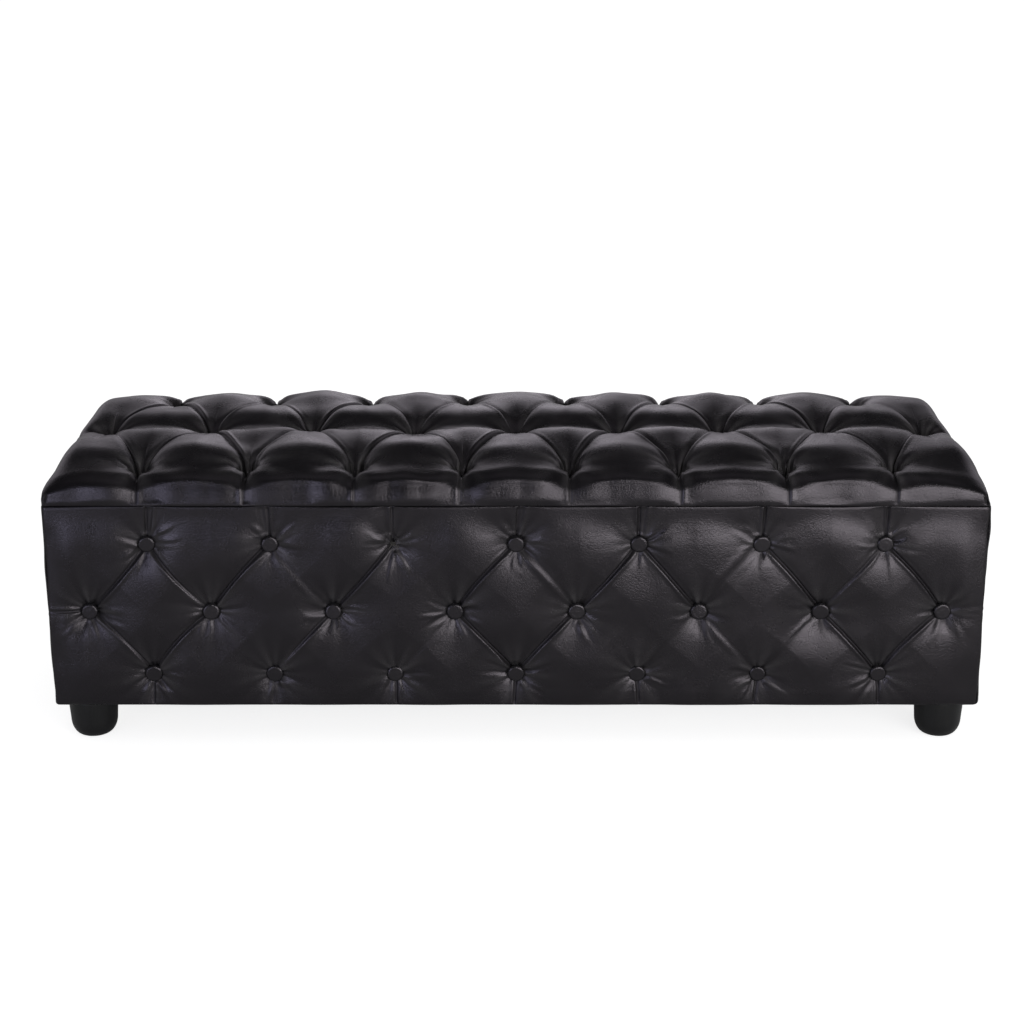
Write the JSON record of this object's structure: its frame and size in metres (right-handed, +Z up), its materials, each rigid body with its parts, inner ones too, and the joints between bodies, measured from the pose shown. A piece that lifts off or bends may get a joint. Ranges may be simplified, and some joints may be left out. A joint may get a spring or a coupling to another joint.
{
  "type": "upholstered bench",
  "caption": "Long box bench with a deep-buttoned, diamond-pleated leather top over shallow-buttoned leather sides, on short tapered black feet.",
  "frame": {"origin": "centre of the footprint at floor level, under the four feet", "axes": "+X along the length, the front faces -Y, +Z up from the floor"},
  "size_m": [1.4, 0.48, 0.443],
  "materials": {
    "black_leather": "satin",
    "button_leather": "satin",
    "foam": "open-cell foam",
    "twine": "waxed",
    "webbing": "woven",
    "card": "grey card",
    "plywood": "raw plywood",
    "pine": "sawn",
    "black_feet": "black satin lacquer",
    "dust_cloth": "black cambric",
    "zinc_steel": "zinc plated"
  },
  "bodies": {
    "root": {"base_rail_front": "pine", "base_rail_left": "pine", "base_rail_rear": "pine", "base_rail_right": "pine", "base_stretcher": "pine", "corner_batten_front_left": "pine", "corner_batten_front_right": "pine", "corner_batten_rear_left": "pine", "corner_batten_rear_right": "pine", "deck_bearer_1": "pine", "deck_bearer_2": "pine", "deck_bearer_3": "pine", "deck_bearer_4": "pine", "deck_screws": "zinc_steel", "dust_cover": "dust_cloth", "foot_front_left": "black_feet", "foot_front_right": "black_feet", "foot_rear_left": "black_feet", "foot_rear_right": "black_feet", "front_board": "plywood", "front_buttons": "button_leather", "front_cover": "black_leather", "front_foam": "foam", "front_tack_strip": "card", "front_toggles": "webbing", "front_twine": "twine", "hanger_bolts": "zinc_steel", "insert_nuts": "zinc_steel", "left_board": "plywood", "left_buttons": "button_leather", "left_cover": "black_leather", "left_foam": "foam", "left_tack_strip": "card", "left_toggles": "webbing", "left_twine": "twine", "rear_board": "plywood", "rear_buttons": "button_leather", "rear_cover": "black_leather", "rear_foam": "foam", "rear_tack_strip": "card", "rear_toggles": "webbing", "rear_twine": "twine", "right_board": "plywood", "right_buttons": "button_leather", "right_cover": "black_leather", "right_foam": "foam", "right_tack_strip": "card", "right_toggles": "webbing", "right_twine": "twine", "seat_deck": "plywood", "seat_foam": "foam", "top_buttons": "button_leather", "top_cover": "black_leather", "top_toggles": "webbing", "top_twine": "twine"}
  },
  "joints": []
}
